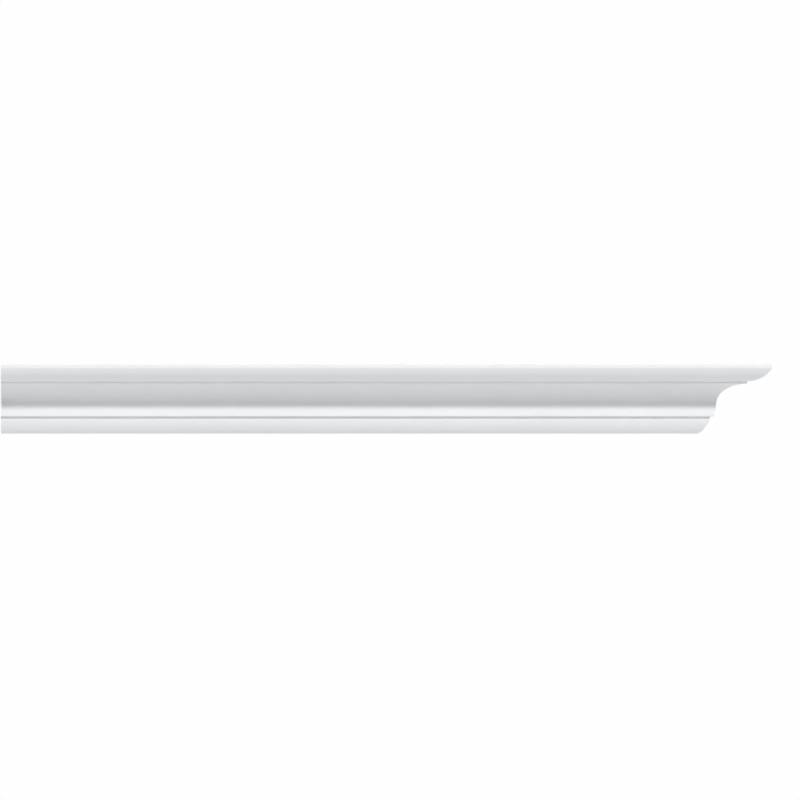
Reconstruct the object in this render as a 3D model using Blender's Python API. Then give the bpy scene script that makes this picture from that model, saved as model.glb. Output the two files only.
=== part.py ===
"""A plain cornice moulding length for the corner between a wall and a ceiling.

X runs along the moulding, Y = 0 is the wall, -Y points out into the room and Z is up. The origin is
the middle of the flat on the back that meets the wall. The end at -X is cut square, and the end at
+X is mitred, so that it meets its neighbour round an outside corner of the room.
"""

import math

import bmesh
import bpy

# The length, from the square end to the tip of the mitre
LENGTH = 1.000
MITRE_ANGLE = math.radians(45)

# Heights of the members of the face, from the foot up
LOWER_OVOLO_HEIGHT = 0.0190
QUIRK_HEIGHT = 0.0032
FASCIA_HEIGHT = 0.0162
COVE_HEIGHT = 0.0264
THIN_FILLET_HEIGHT = 0.0031
UPPER_OVOLO_HEIGHT = 0.0171
LIP_HEIGHT = 0.0050

# How far each member comes forward of the one below it, from the wall out
FOOT_DEPTH = 0.0093
LOWER_OVOLO_REACH = 0.0151
QUIRK_STEP = 0.0049
FASCIA_LEAN = 0.0031
COVE_REACH = 0.0400
SOFFIT_STEP = 0.0032
UPPER_OVOLO_REACH = 0.0294

# How far each rounded member swells past the straight line between its ends
LOWER_OVOLO_SWELL = 0.0019
FASCIA_SWELL = 0.0003
UPPER_OVOLO_SWELL = 0.0040

# The flats on the back, and the rounding of the outer edges
WALL_FLAT = 0.035
CEILING_FLAT = 0.050
EDGE_ROUNDING = 0.0008
EDGE_SEGMENTS = 2
# A corner that turns by more than this is an edge to round
EDGE_TURN = math.radians(15)

# The turn of a curve that one straight facet stands for
FACET_TURN = math.radians(3)

PAINT_COLOUR = (0.84, 0.85, 0.87, 1.0)
PAINT_ROUGHNESS = 0.45


def clear_scene():
    for obj in list(bpy.data.objects):
        bpy.data.objects.remove(obj, do_unlink=True)


def step(points, out, up):
    """Adds a straight stretch that goes out from the wall and up by these amounts."""
    last_out, last_up = points[-1]
    points.append((last_out + out, last_up + up))


def swell(points, out, up, height):
    """Adds a round stretch to the same end point, an arc that swells forward by height at its middle."""
    start_out, start_up = points[-1]
    chord = math.hypot(out, up)
    radius = (chord * chord / 4 + height * height) / (2 * height)
    half_turn = math.asin(chord / 2 / radius)
    facets = math.ceil(2 * half_turn / FACET_TURN)
    along = (out / chord, up / chord)
    forward = (up / chord, -out / chord)
    for i in range(1, facets + 1):
        turn = half_turn * (2 * i / facets - 1)
        run = chord / 2 + radius * math.sin(turn)
        rise = radius * math.cos(turn) - radius + height
        points.append((
            start_out + along[0] * run + forward[0] * rise,
            start_up + along[1] * run + forward[1] * rise,
        ))


def hollow(points, out, up):
    """Adds a quarter of an ellipse that starts straight up and ends straight out."""
    start_out, start_up = points[-1]
    facets = math.ceil(math.pi / 2 / FACET_TURN)
    for i in range(1, facets + 1):
        turn = math.pi / 2 * i / facets
        points.append((start_out + out * (1 - math.cos(turn)), start_up + up * math.sin(turn)))


def face_outline():
    """The shaped face as (distance from the wall, height) points, from the wall's foot up to the lip."""
    points = [(0.0, 0.0)]
    step(points, FOOT_DEPTH, 0)
    swell(points, LOWER_OVOLO_REACH, LOWER_OVOLO_HEIGHT, LOWER_OVOLO_SWELL)
    step(points, 0, QUIRK_HEIGHT)
    step(points, QUIRK_STEP, 0)
    swell(points, FASCIA_LEAN, FASCIA_HEIGHT, FASCIA_SWELL)
    hollow(points, COVE_REACH, COVE_HEIGHT)
    step(points, 0, THIN_FILLET_HEIGHT)
    step(points, SOFFIT_STEP, 0)
    swell(points, UPPER_OVOLO_REACH, UPPER_OVOLO_HEIGHT, UPPER_OVOLO_SWELL)
    step(points, 0, LIP_HEIGHT)
    return points


def closed_outline():
    """The face's points, closed round the back by the ceiling flat, the slope and the wall flat."""
    points = face_outline()
    step(points, -CEILING_FLAT, 0)
    points.append((0.0, WALL_FLAT))
    return points


def round_edges(bm, outline):
    """Rounds the outer corners of the outline while it is still one flat face."""
    # A new face has no normal until it is asked for, and without one no corner counts as an outer one.
    outline.normal_update()
    corners = [
        loop.vert for loop in outline.loops
        if loop.is_convex and loop.calc_angle() < math.pi - EDGE_TURN
    ]
    bmesh.ops.bevel(
        bm, geom=corners, offset=EDGE_ROUNDING, offset_type='OFFSET', segments=EDGE_SEGMENTS,
        profile=0.5, affect='VERTICES', clamp_overlap=True, material=-1,
    )


def moulding_mesh():
    """The outline drawn at the square end, and run along the wall to the mitre."""
    points = closed_outline()
    projection = max(out for out, up in points)
    run_at_wall = LENGTH - projection * math.tan(MITRE_ANGLE)
    square_end = -run_at_wall / 2
    bm = bmesh.new()
    corners = [bm.verts.new((square_end, -out, up - WALL_FLAT / 2)) for out, up in points]
    round_edges(bm, bm.faces.new(corners))
    drawn = set(bm.verts)
    bmesh.ops.extrude_face_region(bm, geom=bm.faces[:])
    for vert in bm.verts:
        if vert not in drawn:
            # The further a point stands off the wall, the further it runs past the wall's corner.
            vert.co.x += run_at_wall - vert.co.y * math.tan(MITRE_ANGLE)
    bmesh.ops.recalc_face_normals(bm, faces=bm.faces[:])
    mesh = bpy.data.meshes.new("cornice_length")
    bm.to_mesh(mesh)
    bm.free()
    mesh.shade_smooth()
    mesh.set_sharp_from_angle(angle=math.radians(30))
    return mesh


def primed_white():
    """A smooth white priming coat with a satin sheen."""
    material = bpy.data.materials.new("primed_white")
    material.use_nodes = True
    shader = material.node_tree.nodes["Principled BSDF"]
    shader.inputs["Base Color"].default_value = PAINT_COLOUR
    shader.inputs["Roughness"].default_value = PAINT_ROUGHNESS
    shader.inputs["Metallic"].default_value = 0.0
    return material


clear_scene()
cornice = bpy.data.objects.new("cornice_length", moulding_mesh())
cornice.data.materials.append(primed_white())
bpy.context.collection.objects.link(cornice)
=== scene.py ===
import math

import bmesh
import bpy
from mathutils import Matrix, Vector


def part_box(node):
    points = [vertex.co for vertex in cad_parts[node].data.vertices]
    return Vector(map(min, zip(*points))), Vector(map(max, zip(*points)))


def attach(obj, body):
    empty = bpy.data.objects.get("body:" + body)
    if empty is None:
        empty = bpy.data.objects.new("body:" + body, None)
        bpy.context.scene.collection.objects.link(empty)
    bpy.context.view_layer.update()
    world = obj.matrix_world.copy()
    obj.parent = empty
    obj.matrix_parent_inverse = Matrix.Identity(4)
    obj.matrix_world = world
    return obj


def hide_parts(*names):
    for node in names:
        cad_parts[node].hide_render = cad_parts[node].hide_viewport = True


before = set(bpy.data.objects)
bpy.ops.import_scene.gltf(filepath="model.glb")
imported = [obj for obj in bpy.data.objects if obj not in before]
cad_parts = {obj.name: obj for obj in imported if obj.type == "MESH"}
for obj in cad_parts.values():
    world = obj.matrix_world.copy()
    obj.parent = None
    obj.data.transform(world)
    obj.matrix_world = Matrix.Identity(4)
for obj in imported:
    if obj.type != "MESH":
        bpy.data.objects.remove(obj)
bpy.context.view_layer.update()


# The moulded length
# The real piece is one straight run of rigid polyurethane foam, cast in a long mould with its whole
# profile in one, and sprayed with a white priming coat. It is sawn square at one end and mitred at
# the other, and glued and pinned in the corner of wall and ceiling by the two flats on its back.

# Heights of the members of the face, from the foot up
LOWER_OVOLO_HEIGHT = 0.0190
QUIRK_HEIGHT = 0.0032
FASCIA_HEIGHT = 0.0162
COVE_HEIGHT = 0.0264
THIN_FILLET_HEIGHT = 0.0031
UPPER_OVOLO_HEIGHT = 0.0171
LIP_HEIGHT = 0.0050

# How far each member comes forward of the one below it, from the wall out
FOOT_DEPTH = 0.0093
LOWER_OVOLO_REACH = 0.0151
QUIRK_STEP = 0.0049
FASCIA_LEAN = 0.0031
COVE_REACH = 0.0400
SOFFIT_STEP = 0.0032
UPPER_OVOLO_REACH = 0.0294

# How far each rounded member swells past the straight line between its ends
LOWER_OVOLO_SWELL = 0.0019
FASCIA_SWELL = 0.0003
UPPER_OVOLO_SWELL = 0.0040

# The two flats on the back
WALL_FLAT = 0.035
CEILING_FLAT = 0.050

# The rounding of the outer corners, and the paint that fills the inner ones
EDGE_ROUNDING = 0.0008
CORNER_FILLING = 0.0010
CORNER_SEGMENTS = 4
# A corner that turns by more than this is softened
CORNER_TURN = math.radians(15)
# The turn of a curve that one straight step in its drawing stands for
TURN_PER_STEP = math.radians(2)

# The way that the saw's cut looks at the mitre, 45 degrees to the wall
MITRE_NORMAL = (1, 1, 0)
# A point nearer to the cut than this lies on it
SAW_TOLERANCE = 1e-6
# The skin round the foam, as it shows at the sawn ends
SKIN_THICKNESS = 0.0005

# How squarely a face has to look along the piece to be an end, or at the wall or ceiling to be the back
END_SHARE = 0.5
WALL_SHARE = 0.1
CEILING_SHARE = 0.99
# The piece's finishes, in the order of its list of materials
PRIMED, AS_CAST, SAWN = range(3)

# A turn between two faces that is shaded as an edge, and how far the shading follows the larger faces
SHARP_TURN = math.radians(30)
LARGE_FACE_WEIGHT = 100


def draw_straight(bm, pen, out, up):
    """Draws on from the pen, out from the wall and up, and gives the pen at the far end."""
    pen = bmesh.ops.extrude_vert_indiv(bm, verts=[pen])["verts"][0]
    bmesh.ops.translate(bm, vec=(0, -out, up), verts=[pen])
    return pen


def draw_spun(bm, pen, centre, turn):
    """Draws an arc round a centre, and gives the pen at its far end and all of the arc's new points."""
    before = set(bm.verts)
    steps = math.ceil(abs(turn) / TURN_PER_STEP)
    spun = bmesh.ops.spin(bm, geom=[pen], cent=centre, axis=(1, 0, 0), angle=turn, steps=steps)
    pen = next(part for part in spun["geom_last"] if isinstance(part, bmesh.types.BMVert))
    return pen, [vert for vert in bm.verts if vert not in before]


def draw_swell(bm, pen, out, up, height):
    """Draws an arc to a point out and up from the pen, which swells forward by height at its middle."""
    chord = Vector((0, -out, up))
    forward = Vector((0, -up, -out)).normalized()
    radius = (chord.length_squared / 4 + height ** 2) / (2 * height)
    centre = pen.co + chord / 2 + forward * (height - radius)
    turn = 2 * math.asin(chord.length / 2 / radius)
    return draw_spun(bm, pen, centre, -turn)[0]


def draw_hollow(bm, pen, out, up):
    """Draws a quarter of an ellipse: a quarter circle, spun and then squeezed in height."""
    centre = pen.co + Vector((0, -out, 0))
    pen, arc = draw_spun(bm, pen, centre, math.pi / 2)
    bmesh.ops.scale(bm, vec=(1, 1, up / out), space=Matrix.Translation(-centre), verts=arc)
    return pen


def draw_outline(bm, corner):
    """Draws the outline as one flat face, from the foot at the wall up the face and down the back."""
    start = bmesh.ops.create_vert(bm, co=corner)["vert"][0]
    pen = draw_straight(bm, start, FOOT_DEPTH, 0)
    pen = draw_swell(bm, pen, LOWER_OVOLO_REACH, LOWER_OVOLO_HEIGHT, LOWER_OVOLO_SWELL)
    pen = draw_straight(bm, pen, 0, QUIRK_HEIGHT)
    pen = draw_straight(bm, pen, QUIRK_STEP, 0)
    pen = draw_swell(bm, pen, FASCIA_LEAN, FASCIA_HEIGHT, FASCIA_SWELL)
    pen = draw_hollow(bm, pen, COVE_REACH, COVE_HEIGHT)
    pen = draw_straight(bm, pen, 0, THIN_FILLET_HEIGHT)
    pen = draw_straight(bm, pen, SOFFIT_STEP, 0)
    pen = draw_swell(bm, pen, UPPER_OVOLO_REACH, UPPER_OVOLO_HEIGHT, UPPER_OVOLO_SWELL)
    pen = draw_straight(bm, pen, 0, LIP_HEIGHT)
    pen = draw_straight(bm, pen, -CEILING_FLAT, 0)
    slope_out = start.co.y - pen.co.y
    slope_up = pen.co.z - start.co.z - WALL_FLAT
    pen = draw_straight(bm, pen, -slope_out, -slope_up)
    bm.edges.new((pen, start))
    bmesh.ops.contextual_create(bm, geom=bm.edges[:])


def soften_corners(bm, outer, rounding):
    """Rounds the outline's outer corners, or else its inner ones, where the paint has filled them."""
    outline = bm.faces[:][0]
    corners = [
        loop.vert for loop in outline.loops
        if loop.is_convex == outer and loop.calc_angle() < math.pi - CORNER_TURN
    ]
    bmesh.ops.bevel(
        bm, geom=corners, offset=rounding, offset_type='OFFSET', segments=CORNER_SEGMENTS,
        profile=0.5, affect='VERTICES', clamp_overlap=True, material=-1,
    )


def saw_mitre(bm, tip):
    """Saws the casting off through the mitre's tip, and closes the cut with one face."""
    sawn = bmesh.ops.bisect_plane(
        bm, geom=bm.verts[:] + bm.edges[:] + bm.faces[:], dist=SAW_TOLERANCE,
        plane_co=tip, plane_no=MITRE_NORMAL, clear_outer=True,
    )
    rim = [part for part in sawn["geom_cut"] if isinstance(part, bmesh.types.BMEdge)]
    bmesh.ops.contextual_create(bm, geom=rim)
    bmesh.ops.recalc_face_normals(bm, faces=bm.faces[:])


def moulding_mesh(low, high):
    """The outline, its corners softened, cast to twice its length and sawn off at the mitre."""
    bm = bmesh.new()
    draw_outline(bm, (low.x, high.y, low.z))
    soften_corners(bm, True, EDGE_ROUNDING)
    soften_corners(bm, False, CORNER_FILLING)
    cast = bmesh.ops.extrude_discrete_faces(bm, faces=bm.faces[:])
    far_end = cast["faces"][0].verts[:]
    bmesh.ops.translate(bm, vec=(2 * (high.x - low.x), 0, 0), verts=far_end)
    # The outline's face has gone to the far end, so the square end is closed with a new one.
    square_end = [edge for edge in bm.edges if edge.is_boundary]
    bmesh.ops.contextual_create(bm, geom=square_end)
    bmesh.ops.recalc_face_normals(bm, faces=bm.faces[:])
    saw_mitre(bm, (high.x, low.y, 0))
    ends = [face for face in bm.faces if abs(face.normal.x) > END_SHARE]
    for face in bm.faces:
        face.smooth = True
        if face.normal.y > WALL_SHARE or face.normal.z > CEILING_SHARE:
            face.material_index = AS_CAST
    # The foam shows at the sawn ends, inside the thin skin that it grew against the mould.
    for end in ends:
        end.material_index = PRIMED
        bmesh.ops.inset_region(bm, faces=[end], thickness=SKIN_THICKNESS, use_even_offset=True)
        end.material_index = SAWN
    mesh = bpy.data.meshes.new("moulded_length")
    bm.to_mesh(mesh)
    bm.free()
    mesh.set_sharp_from_angle(angle=SHARP_TURN)
    return mesh


def cloudy_pattern(material, place, spots_per_metre, detail):
    """A pattern of soft clouds, laid where the coordinates in place say."""
    clouds = material.node_tree.nodes.new("ShaderNodeTexNoise")
    clouds.inputs["Scale"].default_value = spots_per_metre
    clouds.inputs["Detail"].default_value = detail
    material.node_tree.links.new(place, clouds.inputs["Vector"])
    return clouds


def colour_by(material, pattern, dark, light, start, end):
    """Colours the surface from dark, where the pattern is at start, to light, where it is at end."""
    nodes, links = material.node_tree.nodes, material.node_tree.links
    tone = nodes.new("ShaderNodeValToRGB")
    tone.color_ramp.elements[0].position = start
    tone.color_ramp.elements[0].color = dark
    tone.color_ramp.elements[1].position = end
    tone.color_ramp.elements[1].color = light
    links.new(pattern, tone.inputs["Fac"])
    links.new(tone.outputs["Color"], nodes["Principled BSDF"].inputs["Base Color"])


def roughen_by(material, pattern, height, strength):
    """Makes the pattern stand up from the surface, by a height in metres."""
    nodes, links = material.node_tree.nodes, material.node_tree.links
    bump = nodes.new("ShaderNodeBump")
    bump.inputs["Strength"].default_value = strength
    bump.inputs["Distance"].default_value = height
    links.new(pattern, bump.inputs["Height"])
    links.new(bump.outputs["Normal"], nodes["Principled BSDF"].inputs["Normal"])


COAT_CLOUDS_PER_METRE = 9
COAT_DARK = (0.826, 0.841, 0.864, 1)
COAT_LIGHT = (0.842, 0.854, 0.874, 1)
COAT_GLOSSIEST = 0.42
COAT_DULLEST = 0.54
COAT_GRAINS_PER_METRE = 850
COAT_GRAIN_HEIGHT = 0.0001


def primed_face():
    """A sprayed white priming coat: satin, faintly cool, with a fine even grain."""
    material = bpy.data.materials.new("primed_face")
    material.use_nodes = True
    nodes, links = material.node_tree.nodes, material.node_tree.links
    place = nodes.new("ShaderNodeTexCoord").outputs["Object"]

    clouds = cloudy_pattern(material, place, COAT_CLOUDS_PER_METRE, detail=3).outputs["Fac"]
    colour_by(material, clouds, COAT_DARK, COAT_LIGHT, start=0.3, end=0.7)
    sheen = nodes.new("ShaderNodeMapRange")
    sheen.inputs["To Min"].default_value = COAT_GLOSSIEST
    sheen.inputs["To Max"].default_value = COAT_DULLEST
    links.new(clouds, sheen.inputs["Value"])
    links.new(sheen.outputs["Result"], nodes["Principled BSDF"].inputs["Roughness"])

    grain = cloudy_pattern(material, place, COAT_GRAINS_PER_METRE, detail=2).outputs["Fac"]
    roughen_by(material, grain, COAT_GRAIN_HEIGHT, strength=0.5)
    return material


BACK_FLOW_PER_METRE = 16
BACK_FLOW_SQUEEZE = (1, 3, 3)
BACK_FLOW_SWIRL = 0.6
BACK_DARK = (0.77, 0.76, 0.73, 1)
BACK_LIGHT = (0.86, 0.85, 0.83, 1)
BACK_ROUGHNESS = 0.72
BACK_PITS_PER_METRE = 420
BACK_PIT_DEPTH = 0.0002


def cast_back():
    """The back as it leaves the mould: a dull skin with the faint flow marks of the poured foam."""
    material = bpy.data.materials.new("cast_back")
    material.use_nodes = True
    nodes, links = material.node_tree.nodes, material.node_tree.links
    place = nodes.new("ShaderNodeTexCoord").outputs["Object"]
    nodes["Principled BSDF"].inputs["Roughness"].default_value = BACK_ROUGHNESS

    # The foam ran along the mould, so its marks are drawn out that way.
    along = nodes.new("ShaderNodeMapping")
    along.inputs["Scale"].default_value = BACK_FLOW_SQUEEZE
    links.new(place, along.inputs["Vector"])
    flow = cloudy_pattern(material, along.outputs["Vector"], BACK_FLOW_PER_METRE, detail=5)
    flow.inputs["Distortion"].default_value = BACK_FLOW_SWIRL
    colour_by(material, flow.outputs["Fac"], BACK_DARK, BACK_LIGHT, start=0.25, end=0.75)

    pits = cloudy_pattern(material, place, BACK_PITS_PER_METRE, detail=3).outputs["Fac"]
    roughen_by(material, pits, BACK_PIT_DEPTH, strength=0.5)
    return material


FOAM_CELLS_PER_METRE = 1300
FOAM_DARK = (0.74, 0.71, 0.63, 1)
FOAM_LIGHT = (0.93, 0.91, 0.85, 1)
FOAM_ROUGHNESS = 0.85
FOAM_CELL_HEIGHT = 0.0003


def sawn_core():
    """The foam where the saw went through it: fine closed cells, a little creamier than the paint."""
    material = bpy.data.materials.new("sawn_core")
    material.use_nodes = True
    nodes, links = material.node_tree.nodes, material.node_tree.links
    place = nodes.new("ShaderNodeTexCoord").outputs["Object"]
    nodes["Principled BSDF"].inputs["Roughness"].default_value = FOAM_ROUGHNESS

    cells = nodes.new("ShaderNodeTexVoronoi")
    cells.inputs["Scale"].default_value = FOAM_CELLS_PER_METRE
    links.new(place, cells.inputs["Vector"])
    colour_by(material, cells.outputs["Distance"], FOAM_DARK, FOAM_LIGHT, start=0.0, end=0.5)
    roughen_by(material, cells.outputs["Distance"], FOAM_CELL_HEIGHT, strength=0.6)
    return material


moulded_length = bpy.data.objects.new("moulded_length", moulding_mesh(*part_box("cornice_length")))
for finish in (primed_face(), cast_back(), sawn_core()):
    moulded_length.data.materials.append(finish)
bpy.context.scene.collection.objects.link(moulded_length)
even_shading = moulded_length.modifiers.new("even_shading", 'WEIGHTED_NORMAL')
even_shading.keep_sharp = True
even_shading.weight = LARGE_FACE_WEIGHT
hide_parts("cornice_length")
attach(moulded_length, "root")


# The studio floor
# One wide sheet with a dull pale paint. It lies well below the moulding, which hangs clear of it as
# it would on its wall, and throws light up under the members.
FLOOR_DROP = 0.45
FLOOR_SIZE = 60
FLOOR_COLOUR = (0.83, 0.83, 0.83, 1)
FLOOR_ROUGHNESS = 0.9

floor_bm = bmesh.new()
bmesh.ops.create_grid(
    floor_bm, x_segments=1, y_segments=1, size=FLOOR_SIZE / 2,
    matrix=Matrix.Translation((0, 0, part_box("cornice_length")[0].z - FLOOR_DROP)),
)
floor_mesh = bpy.data.meshes.new("studio_floor")
floor_bm.to_mesh(floor_mesh)
floor_bm.free()
studio_floor = bpy.data.objects.new("studio_floor", floor_mesh)
bpy.context.scene.collection.objects.link(studio_floor)
floor_paint = bpy.data.materials.new("floor_paint")
floor_paint.use_nodes = True
floor_shader = floor_paint.node_tree.nodes["Principled BSDF"]
floor_shader.inputs["Base Color"].default_value = FLOOR_COLOUR
floor_shader.inputs["Roughness"].default_value = FLOOR_ROUGHNESS
floor_mesh.materials.append(floor_paint)


# The studio light
# A lamp in front and above gives the bright bands and their soft shadows, and a wider one lights the
# back. A soft box hangs overhead, and the rest of the room is dark but for a little light near the
# horizon, so that the floor lights the undersides.
KEY_HEIGHT_ANGLE = math.radians(33)
KEY_SIZE_ANGLE = math.radians(5)
KEY_STRENGTH = 2.15
BACK_HEIGHT_ANGLE = math.radians(58)
BACK_SIZE_ANGLE = math.radians(50)
BACK_STRENGTH = 0.6
SOFT_BOX_STRENGTH = 1.7
HORIZON_SHARE = 0.1
# How high the light comes from, from 0 at the horizon to 1 overhead
DARK_FROM = 0.3
DARK_TO = 0.8
SOFT_BOX_FROM = 0.92
# What the camera sees behind the piece
BACKDROP_COLOUR = (0.995, 0.995, 0.995, 1)


def hang_lamp(name, strength, size_angle, tilt):
    """A lamp far off, which points straight down until it is tilted towards the back."""
    lamp = bpy.data.objects.new(name, bpy.data.lights.new(name, 'SUN'))
    lamp.data.energy = strength
    lamp.data.angle = size_angle
    lamp.rotation_euler = (tilt, 0, 0)
    bpy.context.scene.collection.objects.link(lamp)


hang_lamp("key_lamp", KEY_STRENGTH, KEY_SIZE_ANGLE, math.pi / 2 - KEY_HEIGHT_ANGLE)
hang_lamp("back_lamp", BACK_STRENGTH, BACK_SIZE_ANGLE, BACK_HEIGHT_ANGLE - math.pi / 2)

room = bpy.data.worlds.new("white_room")
room.use_nodes = True
bpy.context.scene.world = room
room_nodes, room_links = room.node_tree.nodes, room.node_tree.links
room_nodes.clear()
direction = room_nodes.new("ShaderNodeTexCoord")
split = room_nodes.new("ShaderNodeSeparateXYZ")
room_links.new(direction.outputs["Generated"], split.inputs["Vector"])
rise = room_nodes.new("ShaderNodeValToRGB")
for height, share in ((0.0, HORIZON_SHARE), (DARK_FROM, 0.0), (DARK_TO, 0.0), (SOFT_BOX_FROM, 1.0)):
    stop = rise.color_ramp.elements.new(height)
    stop.color = (share, share, share, 1)
# The two stops that a new ramp starts with stand at its ends, outside the four above.
rise.color_ramp.elements.remove(rise.color_ramp.elements[0])
rise.color_ramp.elements.remove(rise.color_ramp.elements[-1])
room_links.new(split.outputs["Z"], rise.inputs["Fac"])
fill = room_nodes.new("ShaderNodeBackground")
fill.inputs["Strength"].default_value = SOFT_BOX_STRENGTH
room_links.new(rise.outputs["Color"], fill.inputs["Color"])
backdrop = room_nodes.new("ShaderNodeBackground")
backdrop.inputs["Color"].default_value = BACKDROP_COLOUR
seen = room_nodes.new("ShaderNodeLightPath")
choose = room_nodes.new("ShaderNodeMixShader")
room_links.new(seen.outputs["Is Camera Ray"], choose.inputs["Fac"])
room_links.new(fill.outputs["Background"], choose.inputs[1])
room_links.new(backdrop.outputs["Background"], choose.inputs[2])
world_out = room_nodes.new("ShaderNodeOutputWorld")
room_links.new(choose.outputs["Shader"], world_out.inputs["Surface"])
bpy.context.scene.view_settings.view_transform = 'Standard'
bpy.context.scene.view_settings.look = 'None'


# The camera
# It looks straight at the shaped face with no perspective. The piece's two ends and its top edge
# stand where they stand in the photograph.
PHOTO_SIZE_PX = 800
LEFT_END_PX = 0.9
MITRE_TIP_PX = 772.2
TOP_EDGE_PX = 364.15
CAMERA_DISTANCE = 3

low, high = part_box("cornice_length")
metres_per_px = (high.x - low.x) / (MITRE_TIP_PX - LEFT_END_PX)
centre_px = PHOTO_SIZE_PX / 2
lens = bpy.data.cameras.new("front_view")
lens.type = 'ORTHO'
lens.ortho_scale = PHOTO_SIZE_PX * metres_per_px
camera = bpy.data.objects.new("front_view", lens)
camera.location = (
    low.x + (centre_px - LEFT_END_PX) * metres_per_px,
    low.y - CAMERA_DISTANCE,
    high.z + (TOP_EDGE_PX - centre_px) * metres_per_px,
)
camera.rotation_euler = (math.pi / 2, 0, 0)
bpy.context.scene.collection.objects.link(camera)
bpy.context.scene.camera = camera
